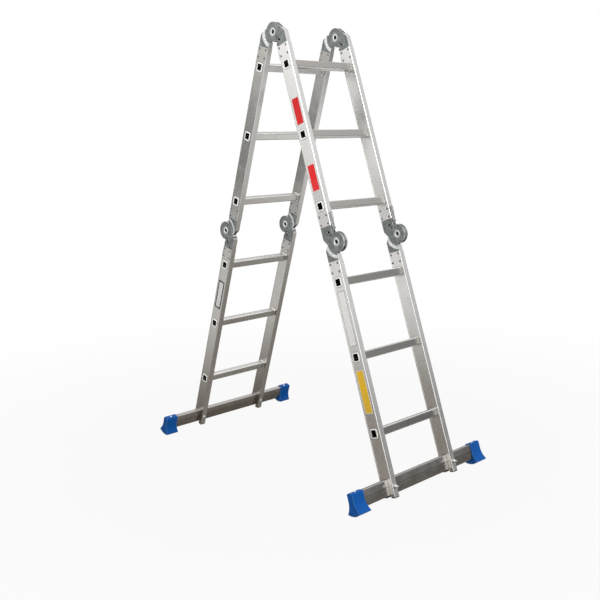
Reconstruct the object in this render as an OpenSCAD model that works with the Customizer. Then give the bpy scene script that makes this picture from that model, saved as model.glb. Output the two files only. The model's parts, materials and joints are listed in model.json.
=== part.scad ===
// Multi position ladder: four sections joined by locking hinges. It stands as an A-frame,
// opens out into one long straight ladder and folds flat for storage.
// Units are millimetres. The rungs run along X, the front leg leans towards -Y, Z is up,
// and the origin is on the floor, midway between the four feet.

/* [Sections] */
// Overall width over the rails
section_w = 365; // [320:5:450]
// Distance between rungs
rung_pitch = 280; // [230:5:320]
// Rungs in each section
rung_count = 3; // [2:1:4]
// Lean of each leg from the vertical when the ladder stands open
leg_angle = 17.8; // [14:0.1:22]
// Clear distance between the hinge plates and the nearest rung
rung_clear = 12; // [8:1:60]
// Distance from the lowest rung to the bottom of its rails
rail_tail = 229; // [190:1:300]

/* [Rails] */
// Width of a rail over its beads
rail_w = 25; // [22:0.5:32]
// Depth of a rail
rail_depth = 58; // [50:1:80]
// Thickness of the two webs
web_t = 1.6; // [1.2:0.1:2.5]
// Thickness of the two flanges
flange_t = 2; // [1.5:0.1:3]
// Width of the raised beads along the edges of the webs
bead_w = 5; // [3:0.5:8]
// Height of the raised beads
bead_h = 0.6; // [0.3:0.1:1]
// Rounding of the rail's outer corners
corner_r = 3; // [1:0.5:4]

/* [Rungs] */
// Depth of a rung, front to back
rung_depth = 28; // [24:1:34]
// Height of a rung
rung_h = 30; // [26:1:36]
// Corner radius of a rung
rung_round = 5; // [3:0.5:8]
// Wall of a rung
rung_wall = 1.8; // [1.6:0.1:3]
// Width of the grip grooves
groove_w = 1.4; // [0.8:0.1:1.8]
// Depth of the grip grooves
groove_depth = 0.7; // [0.3:0.1:1]
// Distance between grip grooves
groove_pitch = 2.8; // [2.4:0.1:4]
// How far the swaged rim of a rung stands out round it
rim_lip = 3.2; // [2:0.1:5]
// Thickness of the swaged rim
rim_t = 2; // [1.4:0.1:3]

/* [Hinges] */
// Gap between two sections that are folded together
hinge_gap = 14; // [10:0.5:20]
// Radius of the outer hinge discs
disc_r = 38; // [34:0.5:44]
// Thickness of the hinge plates
plate_t = 3; // [2:0.1:3.5]
// Length of hinge plate inside the rail
plate_overlap = 52; // [44:1:70]
// Radial run over which the inner plates step out
joggle_run = 12; // [6:0.5:16]
// Bare plate between the step and the end of the rail
plate_bare = 6; // [4:1:30]
// Distance along the rail from the pivot to the corner where a plate's outer edge slants off
plate_shoulder = 21; // [16:0.5:30]
// Run of the slanted edge of the inner plates, along the section's depth
slant_run = 12; // [6:1:20]
// Radius of the pivot pins
pivot_r = 9.5; // [8.5:0.5:11]
// Radius of the hole through a pivot pin
pivot_hole_r = 7.5; // [4:0.1:8]
// Radius of the dish round a pivot
dish_r = 15; // [13:0.5:17]
// Depth of that dish
dish_depth = 1.4; // [0.8:0.1:1.8]
// Radius of a rivet's shank
rivet_r = 3; // [2:0.1:3.5]

/* [Locks] */
// Direction of the lock pin from the pivot, measured from the rail
lock_angle = 32; // [28:1:40]
// Radius of a lock pin
lock_pin_r = 4; // [3:0.1:4.5]
// Travel of a lock pin
lock_travel = 5; // [4:0.1:6]
// Length of lock slot that stays free behind the released pin
slot_spare = 12; // [4:1:16]
// Half the width of the raised boss round a lock slot
boss_r = 8.5; // [7:0.5:12]
// Height of that boss
boss_h = 0.8; // [0.4:0.1:1.2]
// Length of a lock lever
lever_len = 60; // [50:1:90]
// Width of a lock lever
lever_w = 13; // [10:0.5:18]
// Length of the wider thumb plate at the end of a lock lever
thumb_len = 27; // [15:1:40]
// Width of that thumb plate
thumb_w = 20; // [14:0.5:24]
// Thickness of a lock lever
lever_t = 2; // [1.5:0.1:2.5]
// Depth of the hollow pressed into a thumb plate
thumb_press = 1; // [0.4:0.1:1.2]
// Length of a lock spring
spring_len = 12; // [8:0.5:13]

/* [Stabilisers] */
// Height of a stabiliser bar
bar_h = 57; // [50:1:75]
// Depth of a stabiliser bar
bar_depth = 20; // [16:1:30]
// Height of a stabiliser bar above the bottom of the rails
bar_lift = 7; // [0:1:20]
// Wall of a stabiliser bar
bar_wall = 2; // [1.5:0.1:3]
// Length of a stabiliser bar without its feet
bar_len = 724; // [600:2:1100]
// Corner radius of a stabiliser bar
bar_round = 2.5; // [2:0.1:5]
// Radius of the bolts that hold a bar
bolt_r = 4; // [3:0.5:5]
// Bare thread beyond the nut
thread_end = 8; // [4:1:14]

/* [Feet] */
// Length of a foot along its bar
foot_len = 56; // [45:1:80]
// Extra length of a foot at its base
foot_skirt = 3; // [0:1:12]
// Side walls of a foot
foot_wall = 3; // [2:0.5:6]
// End wall of a foot
foot_end_wall = 5; // [3:0.5:8]
// Depth of a foot at its base
foot_base = 56; // [50:1:70]
// Height of the flare above the base
flare_h = 40; // [30:1:50]
// Height of a stabiliser bar above the sole
foot_drop = 20; // [14:1:30]
// Width of the level strip in the middle of the sole
sole_flat = 18; // [12:1:24]
// Width of the grooves in the sole
sole_groove_w = 3.4; // [1.5:0.1:4]
// Depth of the grooves in the sole
sole_groove_depth = 7; // [1:0.1:8]

/* [Hidden] */
$fn = 64;

// Names for the legs, the hands and the way a rail runs from its pivot
front = 1;
rear = -1;
left = -1;
right = 1;
above = -1;
below = 1;
hands = [left, right];

// Clearances: running fits, sliding fits, pieces that pass each other, pockets, and a bar in its rails
running_gap = 0.05;
sliding_gap = 0.1;
passing_gap = 0.3;
pocket_gap = 0.15;
slot_gap = 0.8;
// How far cutting shapes reach past the faces they cut
past = 1;

// The rail, across its width and its depth
rail_x = section_w / 2 - rail_w / 2;
web_face = rail_w / 2 - bead_h;
rail_inner = web_face - web_t;
rail_off = rail_depth / 2 + hinge_gap / 2;

// Hinge plates, in layers outwards from the middle of the rail
cheek_out = rail_inner;
cheek_in = cheek_out - plate_t;
inner_out = cheek_in - passing_gap;
inner_in = inner_out - plate_t;

// Hinge plates, in their own plane: n runs from the pivot towards the middle of the rail, t along the rail
inner_disc_r = disc_r - 2;
plate_ledge = 0.4;
plate_edge_gap = 0.2;
plate_near = rail_off - rail_depth / 2 + flange_t + plate_edge_gap;
plate_far = rail_off + rail_depth / 2 - flange_t - plate_edge_gap;
// The slanted edge of a cheek runs from its shoulder to touch the disc, past the pivot's level
shoulder = [plate_far, plate_shoulder];
slant_turn = acos(disc_r / norm(shoulder)) - atan2(shoulder[1], shoulder[0]);
slant_end = disc_r * [cos(slant_turn), -sin(slant_turn)];
slant_cross = plate_far - (plate_far - slant_end[0]) * plate_shoulder / (plate_shoulder - slant_end[1]);
// The inner plates step out just beyond the part of a cheek that passes over them
joggle_start = slant_cross + 2 * passing_gap;
joggle_end = joggle_start + joggle_run;
rail_cut = joggle_end + plate_bare;
plate_reach = rail_cut + plate_overlap;
plate_big = plate_reach + plate_far;

// The rail's flanges run on past the cut of its webs: the far one along the plates' edge and round their
// shoulder, the near one up to the disc
tongue_half = rail_w / 2 - corner_r - plate_edge_gap;
near_tongue_t = disc_r + 4;
slant_dir = (slant_end - shoulder) / norm(slant_end - shoulder);
slant_out = [-slant_dir[1], slant_dir[0]];
tongue_end_t = 1.5;
tongue_in = shoulder + plate_edge_gap * slant_out;
tongue_out = shoulder + (plate_edge_gap + flange_t) * slant_out;

// Rivets: two rows of two in each rail end, between the beads, and one between the bare plates
rivet_head_r = rivet_r + 1.8;
rivet_head_h = 1.3;
rivet_bead_gap = 0.5;
rivet_rail_edge = 9;
rivet_plate_edge = 11;
rivet_rows = [rail_cut + rivet_rail_edge, plate_reach - rivet_plate_edge];
rivet_spread = rail_depth / 2 - bead_w - rivet_head_r - rivet_bead_gap;
spacer_edge = 7;
spacer_back = 25;
spacer_n = plate_far - spacer_edge;
spacer_t = rail_cut - spacer_back;
spacer_r = rivet_r + 1.5;

// Pivots
pivot_head_r = dish_r - 1.4;
pivot_crest = 0.6;
pivot_mouth = 1.6;

// Locks: the pin stands clear of the inner disc, and drops into its notches to lock
pin_free_r = inner_disc_r + lock_pin_r + passing_gap;
pin_locked_r = pin_free_r - lock_travel;
slot_end_r = pin_free_r + slot_spare;
pin_half = cheek_out + boss_h + 0.5;
pin_spot = pin_free_r * [sin(lock_angle), cos(lock_angle)];
ear_half = inner_in - 0.6;
ear_r = lock_pin_r + 3;
ear_root = 6;
spacer_disc_r = pin_free_r - ear_r - passing_gap;
lever_n = hinge_gap / 2 - 1 - lever_t;
lever_start = disc_r + 17;
lever_roll_r = 4.2;
lever_roll_hole_r = 2.6;
thumb_frame = 4;
spring_start = pin_free_r + ear_r + passing_gap;
spring_r = inner_in - 0.5;
spring_wire = 0.4 * spring_r;
post_r = rivet_r;
post_at = spring_start + spring_len + post_r;
// Opening angles at which the hinges lock: folded and straight, and the A-frame between them
folded = 0;
a_frame = 2 * leg_angle;
straight = 180;

// Distances down a leg from the top pivot
end_pitch = plate_reach + rung_clear + rung_h / 2;
upper_len = 2 * end_pitch + (rung_count - 1) * rung_pitch;
upper_rungs = [for (i = [0 : rung_count - 1]) end_pitch + i * rung_pitch];
lower_rungs = [for (i = [0 : rung_count - 1]) upper_len + end_pitch + i * rung_pitch];
rail_bottom = lower_rungs[rung_count - 1] + rail_tail;
bar_mid = rail_bottom - bar_lift - bar_h / 2;
sole_s = bar_mid + bar_h / 2 + foot_drop;

// The leg's lean brings the inner facet of each sole level with the floor
top_pivot_z = sole_s * cos(leg_angle) - (rail_off - sole_flat / 2) * sin(leg_angle);

// Rungs
rung_half = rail_x + web_face + rim_t;
rung_span = rail_x - web_face - rim_t;
tread_grooves = floor((rung_depth - 2 * rung_round) / groove_pitch);
face_grooves = 3;
face_groove_pitch = (rung_h - 2 * rung_round) / face_grooves;

// Stabilisers and feet, seen along the bar: u across it, v up the leg from the bar's middle
slot_half = bar_depth / 2 + slot_gap;
foot_out = bar_len / 2 + foot_end_wall;
foot_in = foot_out - foot_len;
foot_top = bar_h / 2 + foot_wall;
foot_half = bar_depth / 2 + foot_wall;
foot_round = foot_wall + bar_round;
sole_v = -bar_h / 2 - foot_drop;
base_v = sole_v + (foot_base / 2 - sole_flat / 2) * tan(leg_angle);
base_lip = 3;
flare_steps = 10;
sole_grooves = 5;
sole_groove_pitch = (foot_base - sole_flat / 2) / sole_grooves;
screw_r = 2;
screw_head_r = 4.5;
screw_head_h = 2;
screw_len = foot_wall + bar_wall + 5;
screw_x = foot_in + foot_len / 2;
bolt_head_r = bolt_r + 5;
bolt_head_h = 4.5;
washer_r = bolt_r + 5;
washer_t = 1.6;
nut_r = bolt_r * 1.88;
nut_h = bolt_r * 1.6;
plug_t = 3;
plug_depth = 8;
plug_gap = 0.2;

alu = [0.80, 0.80, 0.79];
rung_alu = [0.84, 0.84, 0.83];
zinc = [0.72, 0.74, 0.75];
bright_steel = [0.80, 0.81, 0.82];
blue = [0.10, 0.38, 0.72];
dark = [0.13, 0.13, 0.14];

// Frames that the pieces are drawn in

// A leg's own frame: the origin is on the top pivot, -Z runs down the leg and -Y is outwards
module leg(side) {
    mirror([0, side < 0 ? 1 : 0, 0])
        translate([0, 0, top_pivot_z])
            rotate([-leg_angle, 0, 0])
                children();
}

// Moves to a rail's centreline, s down the leg
module on_rail(hand, s = 0) {
    translate([hand * rail_x, -rail_off, -s])
        children();
}

// Turns a drawing in the u, v plane so that its thickness runs along X
module along_x() {
    rotate([90, 0, 90])
        children();
}

// A hinge half's own frame, n and t in its plane and its thickness along X.
// The top hinge's pivot is inside the leg, and the mid hinge's pivot is outside it.
module hinge(side, hand, mid, run) {
    leg(side)
        translate([hand * rail_x, mid ? -2 * rail_off : 0, mid ? -upper_len : 0])
            mirror([0, mid ? 0 : 1, 0])
                mirror([0, 0, run > 0 ? 1 : 0])
                    along_x()
                        children();
}

// Repeats a piece on both faces of a hinge
module both_faces() {
    children();
    mirror([0, 0, 1])
        children();
}

// Turns towards the lock pin, which then lies along Y
module towards_lock() {
    rotate([0, 0, -lock_angle])
        children();
}

// Shared shapes

module round_rect(w, h, r) {
    square([w - 2 * r, h], center = true);
    square([w, h - 2 * r], center = true);
    for (i = [-1, 1], j = [-1, 1])
        translate([i * (w / 2 - r), j * (h / 2 - r)])
            circle(r);
}

module slot_2d(r, from, to) {
    for (y = [from, to])
        translate([0, y])
            circle(r);
    translate([-r, from])
        square([2 * r, to - from]);
}

module dome(r, h) {
    rotate_extrude()
        polygon([[0, 0], [r, 0], [0.94 * r, 0.4 * h], [0.66 * r, 0.85 * h], [0.3 * r, h], [0, h]]);
}

// A domed head with a round recess in its middle
module recessed_dome(r, h) {
    rotate_extrude()
        polygon([
            [0, 0], [r, 0], [0.94 * r, 0.4 * h], [0.74 * r, 0.85 * h], [0.55 * r, h], [0.42 * r, 0.95 * h],
            [0.34 * r, 0.3 * h], [0, 0.3 * h]
        ]);
}

// A through rivet with a domed head at each end
module rivet(half) {
    cylinder(r = rivet_r, h = 2 * half, center = true);
    both_faces()
        translate([0, 0, half])
            recessed_dome(rivet_head_r, rivet_head_h);
}

// Rails

module rail_profile() {
    difference() {
        round_rect(rail_w, rail_depth, corner_r);
        square([2 * rail_inner, rail_depth - 2 * flange_t], center = true);
        for (i = [-1, 1])
            translate([i * (web_face + past / 2), 0])
                square([past, rail_depth - 2 * bead_w], center = true);
    }
}

// The places of the four rivets in a rail end, for a pivot at s and a rail that runs up or down from it
module rail_rivets(pivot_s, run) {
    for (t = rivet_rows, i = [-1, 1])
        translate([0, i * rivet_spread, -(pivot_s + run * t)])
            rotate([0, 90, 0])
                children();
}

module rung_hole(s) {
    translate([0, 0, -s])
        along_x()
            linear_extrude(rail_w + 2 * past, center = true)
                round_rect(rung_depth + 2 * sliding_gap, rung_h + 2 * sliding_gap, rung_round + sliding_gap);
}

module rail_body(from, to, rungs) {
    difference() {
        translate([0, 0, -to])
            linear_extrude(to - from)
                rail_profile();
        for (s = rungs)
            rung_hole(s);
    }
}

module rivet_hole() {
    cylinder(r = rivet_r + running_gap, h = rail_w + 2 * past, center = true);
}

// Points on a line along the slanted edge through a given point: the one at n, and the one at t
function slant_at_n(point, n) = point + slant_dir * (n - point[0]) / slant_dir[0];
function slant_at_t(point, t) = point + slant_dir * (t - point[1]) / slant_dir[1];

// The flanges' ends at a hinge. Beside cheeks, where the lock lever is, there is no near one,
// and the far one goes on along their slanted edge.
module flange_tongues(side, hand, mid, run, beside_cheeks) {
    flange_in = plate_far + plate_edge_gap;
    flange_out = flange_in + flange_t;
    joined = rail_cut + past;
    hinge(side, hand, mid, run)
        linear_extrude(2 * tongue_half, center = true) {
            if (beside_cheeks)
                polygon([
                    [flange_in, joined], slant_at_n(tongue_in, flange_in),
                    slant_at_t(tongue_in, tongue_end_t), slant_at_t(tongue_out, tongue_end_t),
                    slant_at_n(tongue_out, flange_out), [flange_out, joined]
                ]);
            else {
                translate([flange_in, plate_shoulder])
                    square([flange_t, joined - plate_shoulder]);
                translate([plate_near - plate_edge_gap - flange_t, near_tongue_t])
                    square([flange_t, joined - near_tongue_t]);
            }
        }
}

module upper_rail(side, hand) {
    color(alu)
        leg(side)
            on_rail(hand)
                difference() {
                    rail_body(rail_cut, upper_len - rail_cut, upper_rungs);
                    rail_rivets(0, below)
                        rivet_hole();
                    rail_rivets(upper_len, above)
                        rivet_hole();
                }
    color(alu) {
        flange_tongues(side, hand, false, below, side == front);
        flange_tongues(side, hand, true, above, side == front);
    }
}

module lower_rail(side, hand) {
    color(alu)
        leg(side)
            on_rail(hand)
                difference() {
                    rail_body(upper_len + rail_cut, rail_bottom, lower_rungs);
                    rail_rivets(upper_len, below)
                        rivet_hole();
                    translate([-rail_w / 2 - past, -slot_half, -rail_bottom - past])
                        cube([rail_w + 2 * past, 2 * slot_half, bar_lift + bar_h + slot_gap + past]);
                    translate([0, 0, -bar_mid])
                        rotate([90, 0, 0])
                            cylinder(r = bolt_r + sliding_gap, h = rail_depth + 2 * past, center = true);
                }
    color(alu)
        flange_tongues(side, hand, true, below, side == rear);
}

// Rungs: ribbed tubes that pass through both rails, swaged on each side of them

module rung_hollow() {
    round_rect(rung_depth - 2 * rung_wall, rung_h - 2 * rung_wall, max(rung_round - rung_wall, 0.5));
}

module rung_profile() {
    difference() {
        round_rect(rung_depth, rung_h, rung_round);
        rung_hollow();
        for (i = [0 : tread_grooves - 1], j = [-1, 1])
            translate([(i - (tread_grooves - 1) / 2) * groove_pitch, j * rung_h / 2])
                square([groove_w, 2 * groove_depth], center = true);
        for (i = [0 : face_grooves - 1], j = [-1, 1])
            translate([j * rung_depth / 2, (i - (face_grooves - 1) / 2) * face_groove_pitch])
                square([groove_depth, groove_w], center = true);
    }
}

module rim_ring(lip) {
    difference() {
        round_rect(rung_depth + 2 * lip, rung_h + 2 * lip, rung_round + lip);
        rung_hollow();
    }
}

// A swaged rim, narrower towards its free face
module rung_rim() {
    linear_extrude(rim_t / 2)
        rim_ring(rim_lip);
    linear_extrude(rim_t)
        rim_ring(rim_lip / 2);
}

// The ends of a rung, inside the rails, have no grooves
module rung_end() {
    translate([0, 0, rung_span])
        linear_extrude(rung_half - rung_span)
            difference() {
                round_rect(rung_depth, rung_h, rung_round);
                rung_hollow();
            }
}

module rung(s) {
    translate([0, -rail_off, -s])
        along_x() {
            linear_extrude(2 * rung_span, center = true)
                rung_profile();
            both_faces() {
                rung_end();
                translate([0, 0, rail_x + web_face])
                    rung_rim();
                translate([0, 0, rail_x - web_face])
                    mirror([0, 0, 1])
                        rung_rim();
            }
        }
}

module rungs(side, places) {
    color(rung_alu)
        leg(side)
            for (s = places)
                rung(s);
}

// Hinge plates

module cheek_outline() {
    circle(disc_r);
    polygon([[plate_near, 0], slant_end, shoulder, [plate_far, plate_reach], [plate_near, plate_reach]]);
}

module inner_outline() {
    circle(inner_disc_r);
    polygon([
        [plate_near, plate_ledge],
        [plate_far - slant_run, plate_ledge],
        [plate_far, plate_shoulder],
        [plate_far, plate_reach],
        [plate_near, plate_reach]
    ]);
}

// The places of a plate's rivets
module plate_rivets() {
    for (t = rivet_rows, i = [-1, 1])
        translate([rail_off + i * rivet_spread, t])
            children();
    translate([spacer_n, spacer_t])
        children();
}

module plate_rivet_holes() {
    plate_rivets()
        cylinder(r = rivet_r + running_gap, h = rail_w);
}

module pivot_hole() {
    cylinder(r = pivot_r + running_gap, h = rail_w);
}

// One outer plate: a disc with a dish round the pivot and a boss round the lock slot
module cheek() {
    difference() {
        union() {
            translate([0, 0, cheek_in])
                linear_extrude(plate_t)
                    cheek_outline();
            towards_lock()
                translate([0, 0, cheek_out - plate_t / 2])
                    linear_extrude(plate_t / 2 + boss_h)
                        slot_2d(boss_r, pin_locked_r, slot_end_r);
        }
        pivot_hole();
        translate([0, 0, cheek_out - dish_depth])
            cylinder(r = dish_r, h = rail_w);
        plate_rivet_holes();
        towards_lock()
            linear_extrude(rail_w)
                slot_2d(lock_pin_r + sliding_gap, pin_locked_r, slot_end_r);
    }
}

module cheeks(side, hand, mid, run) {
    color(zinc)
        hinge(side, hand, mid, run)
            both_faces()
                cheek();
}

// The band that an inner plate keeps to: inside the cheeks at the disc, against the rail beyond it
module joggle_band() {
    rotate_extrude($fn = 128)
        polygon([
            [0, inner_in], [joggle_start, inner_in], [joggle_end, cheek_in], [plate_big, cheek_in],
            [plate_big, cheek_out], [joggle_end, cheek_out], [joggle_start, inner_out], [0, inner_out]
        ]);
}

module lock_notch(opening) {
    rotate([0, 0, lock_angle + opening])
        linear_extrude(rail_w)
            slot_2d(lock_pin_r + sliding_gap, pin_locked_r, pin_free_r + lock_pin_r);
}

// The openings at which a hinge locks
function locked_openings(mid) = mid ? [folded, straight] : [folded, a_frame, straight];

// One inner plate, with a notch for each locked opening
module inner_plate(openings) {
    difference() {
        intersection() {
            linear_extrude(rail_w)
                inner_outline();
            joggle_band();
        }
        pivot_hole();
        plate_rivet_holes();
        for (opening = openings)
            lock_notch(opening);
    }
}

module inner_plates(side, hand, mid, run) {
    color(zinc)
        hinge(side, hand, mid, run)
            both_faces()
                inner_plate(locked_openings(mid));
}

// Pivot pins: hollow rivets whose heads sit in the dishes
module pivot_pin() {
    head_seat = cheek_out - dish_depth;
    head_mid = (pivot_hole_r + pivot_mouth + pivot_head_r) / 2;
    half_side = [
        [pivot_hole_r, cheek_out - pivot_mouth], [pivot_hole_r + pivot_mouth, cheek_out],
        [head_mid, cheek_out + pivot_crest], [pivot_head_r, cheek_out - pivot_crest],
        [pivot_head_r, head_seat], [pivot_r, head_seat]
    ];
    other_side = [for (i = [len(half_side) - 1 : -1 : 0]) [half_side[i][0], -half_side[i][1]]];
    rotate_extrude()
        polygon(concat(half_side, other_side));
}

module pivot_pins(side, mid, run) {
    color(bright_steel)
        for (hand = hands)
            hinge(side, hand, mid, run)
                pivot_pin();
}

// Thick bushes that hold the two inner plates of a hinge apart, notched for the lever's arm
module bushes(side, mid, run) {
    color(zinc)
        for (hand = hands)
            hinge(side, hand, mid, run)
                difference() {
                    cylinder(r = spacer_disc_r, h = 2 * inner_in, center = true);
                    cylinder(r = pivot_r + running_gap, h = rail_w, center = true);
                    for (opening = locked_openings(mid))
                        rotate([0, 0, lock_angle + opening])
                            translate([0, pin_locked_r, 0])
                                cylinder(r = ear_r + passing_gap, h = rail_w, center = true);
                }
}

// Locks, drawn released

module lock_pin(side, hand, mid, run) {
    chamfer = 0.6;
    color(bright_steel)
        hinge(side, hand, mid, run)
            translate(pin_spot)
                rotate_extrude()
                    polygon([
                        [0, -pin_half], [lock_pin_r - chamfer, -pin_half], [lock_pin_r, chamfer - pin_half],
                        [lock_pin_r, pin_half - chamfer], [lock_pin_r - chamfer, pin_half], [0, pin_half]
                    ]);
}

// An arm between the inner plates carries the pin, and a strip along the rail, rolled at one end and
// widened to a hollowed thumb plate at the other, is the handle
module lock_lever(side, hand, mid, run) {
    root = [lever_n + lever_t / 2, lever_start + ear_root];
    reach = pin_spot - root;
    across = [-reach[1], reach[0]] * (ear_r - 2) / norm(reach);
    thumb_start = lever_start + lever_len - thumb_len;
    color(zinc)
        hinge(side, hand, mid, run)
            difference() {
                union() {
                    translate([lever_n, lever_start, -lever_w / 2])
                        cube([lever_t, lever_len, lever_w]);
                    translate([lever_n, thumb_start, -thumb_w / 2])
                        cube([lever_t, thumb_len, thumb_w]);
                    translate([lever_n + lever_t / 2, lever_start, 0])
                        cylinder(r = lever_roll_r, h = lever_w, center = true);
                    linear_extrude(2 * ear_half, center = true) {
                        translate(pin_spot)
                            circle(ear_r);
                        polygon([
                            root - [0, ear_root], pin_spot - across,
                            pin_spot + across, root + [0, ear_root]
                        ]);
                    }
                }
                translate(pin_spot)
                    cylinder(r = lock_pin_r + running_gap, h = rail_w, center = true);
                translate([lever_n + lever_t / 2, lever_start, 0])
                    cylinder(r = lever_roll_hole_r, h = rail_w, center = true);
                translate([lever_n - past, thumb_start + thumb_frame, thumb_frame - thumb_w / 2])
                    cube([thumb_press + past, thumb_len - 2 * thumb_frame, thumb_w - 2 * thumb_frame]);
            }
}

// Springs behind the lock pins, each against a post between the cheeks
module lock_springs(side, mid, run) {
    color(bright_steel)
        for (hand = hands)
            hinge(side, hand, mid, run)
                towards_lock()
                    translate([0, spring_start, 0])
                        rotate([-90, 0, 0])
                            difference() {
                                cylinder(r = spring_r, h = spring_len);
                                translate([0, 0, -past])
                                    cylinder(r = spring_r - spring_wire, h = spring_len + 2 * past);
                            }
}

module spring_posts(side, mid, run) {
    color(zinc)
        for (hand = hands)
            hinge(side, hand, mid, run)
                towards_lock()
                    translate([0, post_at, 0])
                        cylinder(r = post_r, h = 2 * cheek_in, center = true);
}

// Rivets of one section's end at a hinge, with the spacer rivet between the bare plates
module hinge_rivets(side, mid, run) {
    color(bright_steel) {
        leg(side)
            for (hand = hands)
                on_rail(hand)
                    rail_rivets(mid ? upper_len : 0, run)
                        rivet(web_face);
        for (hand = hands)
            hinge(side, hand, mid, run)
                translate([spacer_n, spacer_t]) {
                    rivet(cheek_out);
                    cylinder(r = spacer_r, h = 2 * cheek_in, center = true);
                }
    }
}

// Stabilisers

module bar_frame(side) {
    leg(side)
        translate([0, -rail_off, -bar_mid])
            children();
}

module stabiliser_bar(side) {
    color(alu)
        bar_frame(side)
            difference() {
                along_x()
                    linear_extrude(bar_len, center = true)
                        difference() {
                            round_rect(bar_depth, bar_h, bar_round);
                            square([bar_depth - 2 * bar_wall, bar_h - 2 * bar_wall], center = true);
                        }
                for (hand = hands) {
                    translate([hand * rail_x, 0, 0])
                        rotate([90, 0, 0])
                            cylinder(r = bolt_r + sliding_gap, h = bar_depth + 2 * past, center = true);
                    translate([hand * screw_x, 0, 0])
                        cylinder(r = screw_r + running_gap, h = bar_h);
                }
            }
}

// The foot's flare narrows from its base to the bar like a parabola
function flare(k) = foot_half + (foot_base / 2 - foot_half) * pow(1 - k / flare_steps, 2);
function flare_v(k) = base_v + base_lip + flare_h * k / flare_steps;
function sole_height(u) = sole_v + max(abs(u) - sole_flat / 2, 0) * tan(leg_angle);

foot_side = concat(
    [[sole_flat / 2, sole_v], [foot_base / 2, base_v]],
    [for (k = [0 : flare_steps]) [flare(k), flare_v(k)]],
    [for (w = [0 : 15 : 90]) [foot_half - foot_round * (1 - cos(w)), foot_top - foot_round * (1 - sin(w))]]
);

module foot_profile() {
    other_side = [for (i = [len(foot_side) - 1 : -1 : 0]) [-foot_side[i][0], foot_side[i][1]]];
    difference() {
        polygon(concat(foot_side, other_side));
        for (i = [0 : sole_grooves - 1]) {
            u = (i - (sole_grooves - 1) / 2) * sole_groove_pitch;
            translate([u - sole_groove_w / 2, sole_v - past])
                square([sole_groove_w, sole_height(u) - sole_v + sole_groove_depth + past]);
        }
    }
}

// The part of a foot's block that its inner end leaves away: straight at the bar, slanted below it
module foot_end_cut() {
    far = foot_in - foot_skirt - past;
    rotate([90, 0, 0])
        linear_extrude(2 * foot_base, center = true)
            polygon([
                [far, foot_top + past], [foot_in, foot_top + past],
                [foot_in, base_v + base_lip + flare_h / 2], [foot_in - foot_skirt, base_v],
                [foot_in - foot_skirt, sole_v - past], [far, sole_v - past]
            ]);
}

module foot(side, hand) {
    color(blue)
        bar_frame(side)
            mirror([hand < 0 ? 1 : 0, 0, 0])
                difference() {
                    translate([foot_in - foot_skirt, 0, 0])
                        along_x()
                            linear_extrude(foot_len + foot_skirt)
                                foot_profile();
                    foot_end_cut();
                    translate([foot_in - foot_skirt - past, 0, 0])
                        along_x()
                            linear_extrude(bar_len / 2 - foot_in + foot_skirt + past)
                                round_rect(bar_depth + 2 * pocket_gap, bar_h + 2 * pocket_gap, bar_round);
                    translate([screw_x, 0, 0])
                        cylinder(r = screw_r + running_gap, h = bar_h);
                }
}

module foot_screws(side) {
    color(bright_steel)
        bar_frame(side)
            for (hand = hands)
                translate([hand * screw_x, 0, foot_top]) {
                    recessed_dome(screw_head_r, screw_head_h);
                    translate([0, 0, -screw_len])
                        cylinder(r = screw_r, h = screw_len);
                }
}

// Bolts that hold the bar in its rails: a domed head inside the leg, a washer and a nut outside it
module bar_bolts(side) {
    color(bright_steel)
        leg(side)
            for (hand = hands)
                on_rail(hand, bar_mid)
                    rotate([90, 0, 0]) {
                        translate([0, 0, -rail_depth / 2])
                            cylinder(r = bolt_r, h = rail_depth + washer_t + nut_h + thread_end);
                        translate([0, 0, -rail_depth / 2])
                            mirror([0, 0, 1])
                                dome(bolt_head_r, bolt_head_h);
                    }
}

module bar_nuts(side) {
    color(zinc)
        leg(side)
            for (hand = hands)
                on_rail(hand, bar_mid)
                    rotate([90, 0, 0])
                        translate([0, 0, rail_depth / 2])
                            difference() {
                                union() {
                                    cylinder(r = washer_r, h = washer_t);
                                    translate([0, 0, washer_t])
                                        cylinder(r = nut_r, h = nut_h, $fn = 6);
                                }
                                translate([0, 0, -past])
                                    cylinder(r = bolt_r + running_gap, h = washer_t + nut_h + 2 * past);
                            }
}

// Plugs in the bottom of the rails, on each side of the bar
module rail_plugs(side) {
    lobe = rail_depth / 2 - slot_half;
    color(dark)
        leg(side)
            for (hand = hands, i = [-1, 1])
                on_rail(hand, rail_bottom)
                    mirror([0, i < 0 ? 1 : 0, 0]) {
                        translate([0, 0, -plug_t])
                            linear_extrude(plug_t)
                                intersection() {
                                    round_rect(rail_w, rail_depth, corner_r);
                                    translate([-rail_w / 2, slot_half])
                                        square([rail_w, lobe]);
                                }
                        translate([plug_gap - rail_inner, slot_half, 0])
                            cube([2 * (rail_inner - plug_gap), lobe - flange_t - plug_gap, plug_depth]);
                    }
}

upper_rail(front, left);  // front_upper_rail_left
upper_rail(front, right);  // front_upper_rail_right
lower_rail(front, left);  // front_lower_rail_left
lower_rail(front, right);  // front_lower_rail_right
upper_rail(rear, left);  // rear_upper_rail_left
upper_rail(rear, right);  // rear_upper_rail_right
lower_rail(rear, left);  // rear_lower_rail_left
lower_rail(rear, right);  // rear_lower_rail_right

rungs(front, upper_rungs);  // front_upper_rungs
rungs(front, lower_rungs);  // front_lower_rungs
rungs(rear, upper_rungs);  // rear_upper_rungs
rungs(rear, lower_rungs);  // rear_lower_rungs

cheeks(front, left, false, below);  // top_hinge_cheeks_left
cheeks(front, right, false, below);  // top_hinge_cheeks_right
cheeks(front, left, true, above);  // front_hinge_cheeks_left
cheeks(front, right, true, above);  // front_hinge_cheeks_right
cheeks(rear, left, true, below);  // rear_hinge_cheeks_left
cheeks(rear, right, true, below);  // rear_hinge_cheeks_right

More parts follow.
